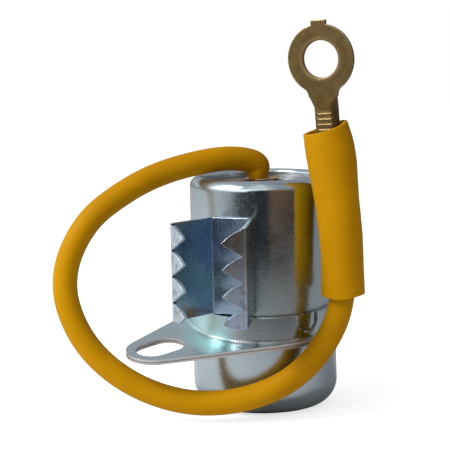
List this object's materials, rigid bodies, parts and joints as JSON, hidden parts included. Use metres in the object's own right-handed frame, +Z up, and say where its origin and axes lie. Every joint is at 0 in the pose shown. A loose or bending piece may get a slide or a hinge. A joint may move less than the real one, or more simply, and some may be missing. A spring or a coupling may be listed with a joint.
{
  "type": "ignition condenser",
  "caption": "Ignition condenser: a zinc-plated steel can in a slotted bracket, with a toothed cable clip and a sleeved yellow lead to a brass ring terminal.",
  "frame": {"origin": "centre of the can's flat base", "axes": "+Z up the can's axis to the lead's exit; the clip and the ear point to -X and -Y, and the ring terminal stands at +X"},
  "size_m": [0.0453, 0.0351, 0.0575],
  "materials": {
    "zinc_can": "satin",
    "lid_metal": "satin",
    "fibre": "matte",
    "brass": "satin",
    "gasket_rubber": "matte",
    "pressboard": "matte",
    "contact_metal": "satin",
    "solder": "satin",
    "end_spray": "matte",
    "wound_film": "gloss",
    "core_tube": "matte",
    "wrap_tape": "gloss",
    "liner_paper": "matte",
    "zinc_bracket": "satin",
    "zinc_clip": "satin",
    "yellow_pvc": "satin",
    "copper": "satin",
    "yellow_sleeve": "satin",
    "terminal_brass": "satin"
  },
  "bodies": {
    "root": {"can": "zinc_can", "lid": "lid_metal", "insulating_bush": "fibre", "eyelet": "brass", "gasket": "gasket_rubber", "insulating_washer": "pressboard", "contact_plate": "contact_metal", "solder_joint": "solder", "top_end_spray": "end_spray", "winding": "wound_film", "winding_core": "core_tube", "bottom_end_spray": "end_spray", "winding_wrap": "wrap_tape", "liner": "liner_paper", "contact_spring": "contact_metal", "bracket": "zinc_bracket", "clip": "zinc_clip", "lead_insulation": "yellow_pvc", "lead_wire": "copper", "terminal_sleeve": "yellow_sleeve", "ring_terminal": "terminal_brass"}
  },
  "joints": []
}
